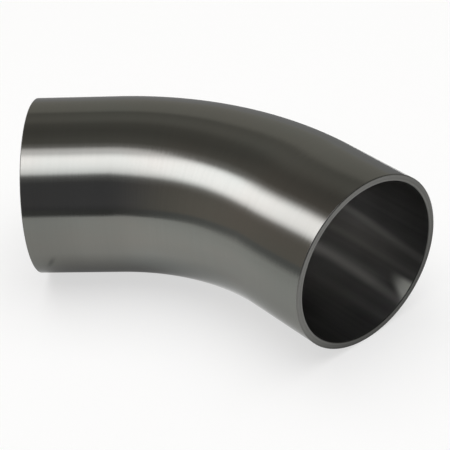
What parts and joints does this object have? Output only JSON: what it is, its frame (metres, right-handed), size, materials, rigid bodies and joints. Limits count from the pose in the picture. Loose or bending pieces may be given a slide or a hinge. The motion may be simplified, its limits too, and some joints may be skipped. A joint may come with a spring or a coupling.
{
  "type": "forty-five degree elbow",
  "caption": "Forty-five degree sanitary weld elbow in polished stainless tube, with a straight square-cut end on each side of the bend.",
  "frame": {"origin": "centre of the inlet's end face, on the tube's axis", "axes": "+X along the inlet's axis into the elbow, the bend turns towards -Y, +Z square to the plane of the bend; the elbow rests on its side on the plane 19 mm below the axis"},
  "size_m": [0.0843, 0.0617, 0.038],
  "materials": {
    "stainless": "satin polished round the tube"
  },
  "bodies": {
    "root": {"elbow": "stainless"}
  },
  "joints": []
}
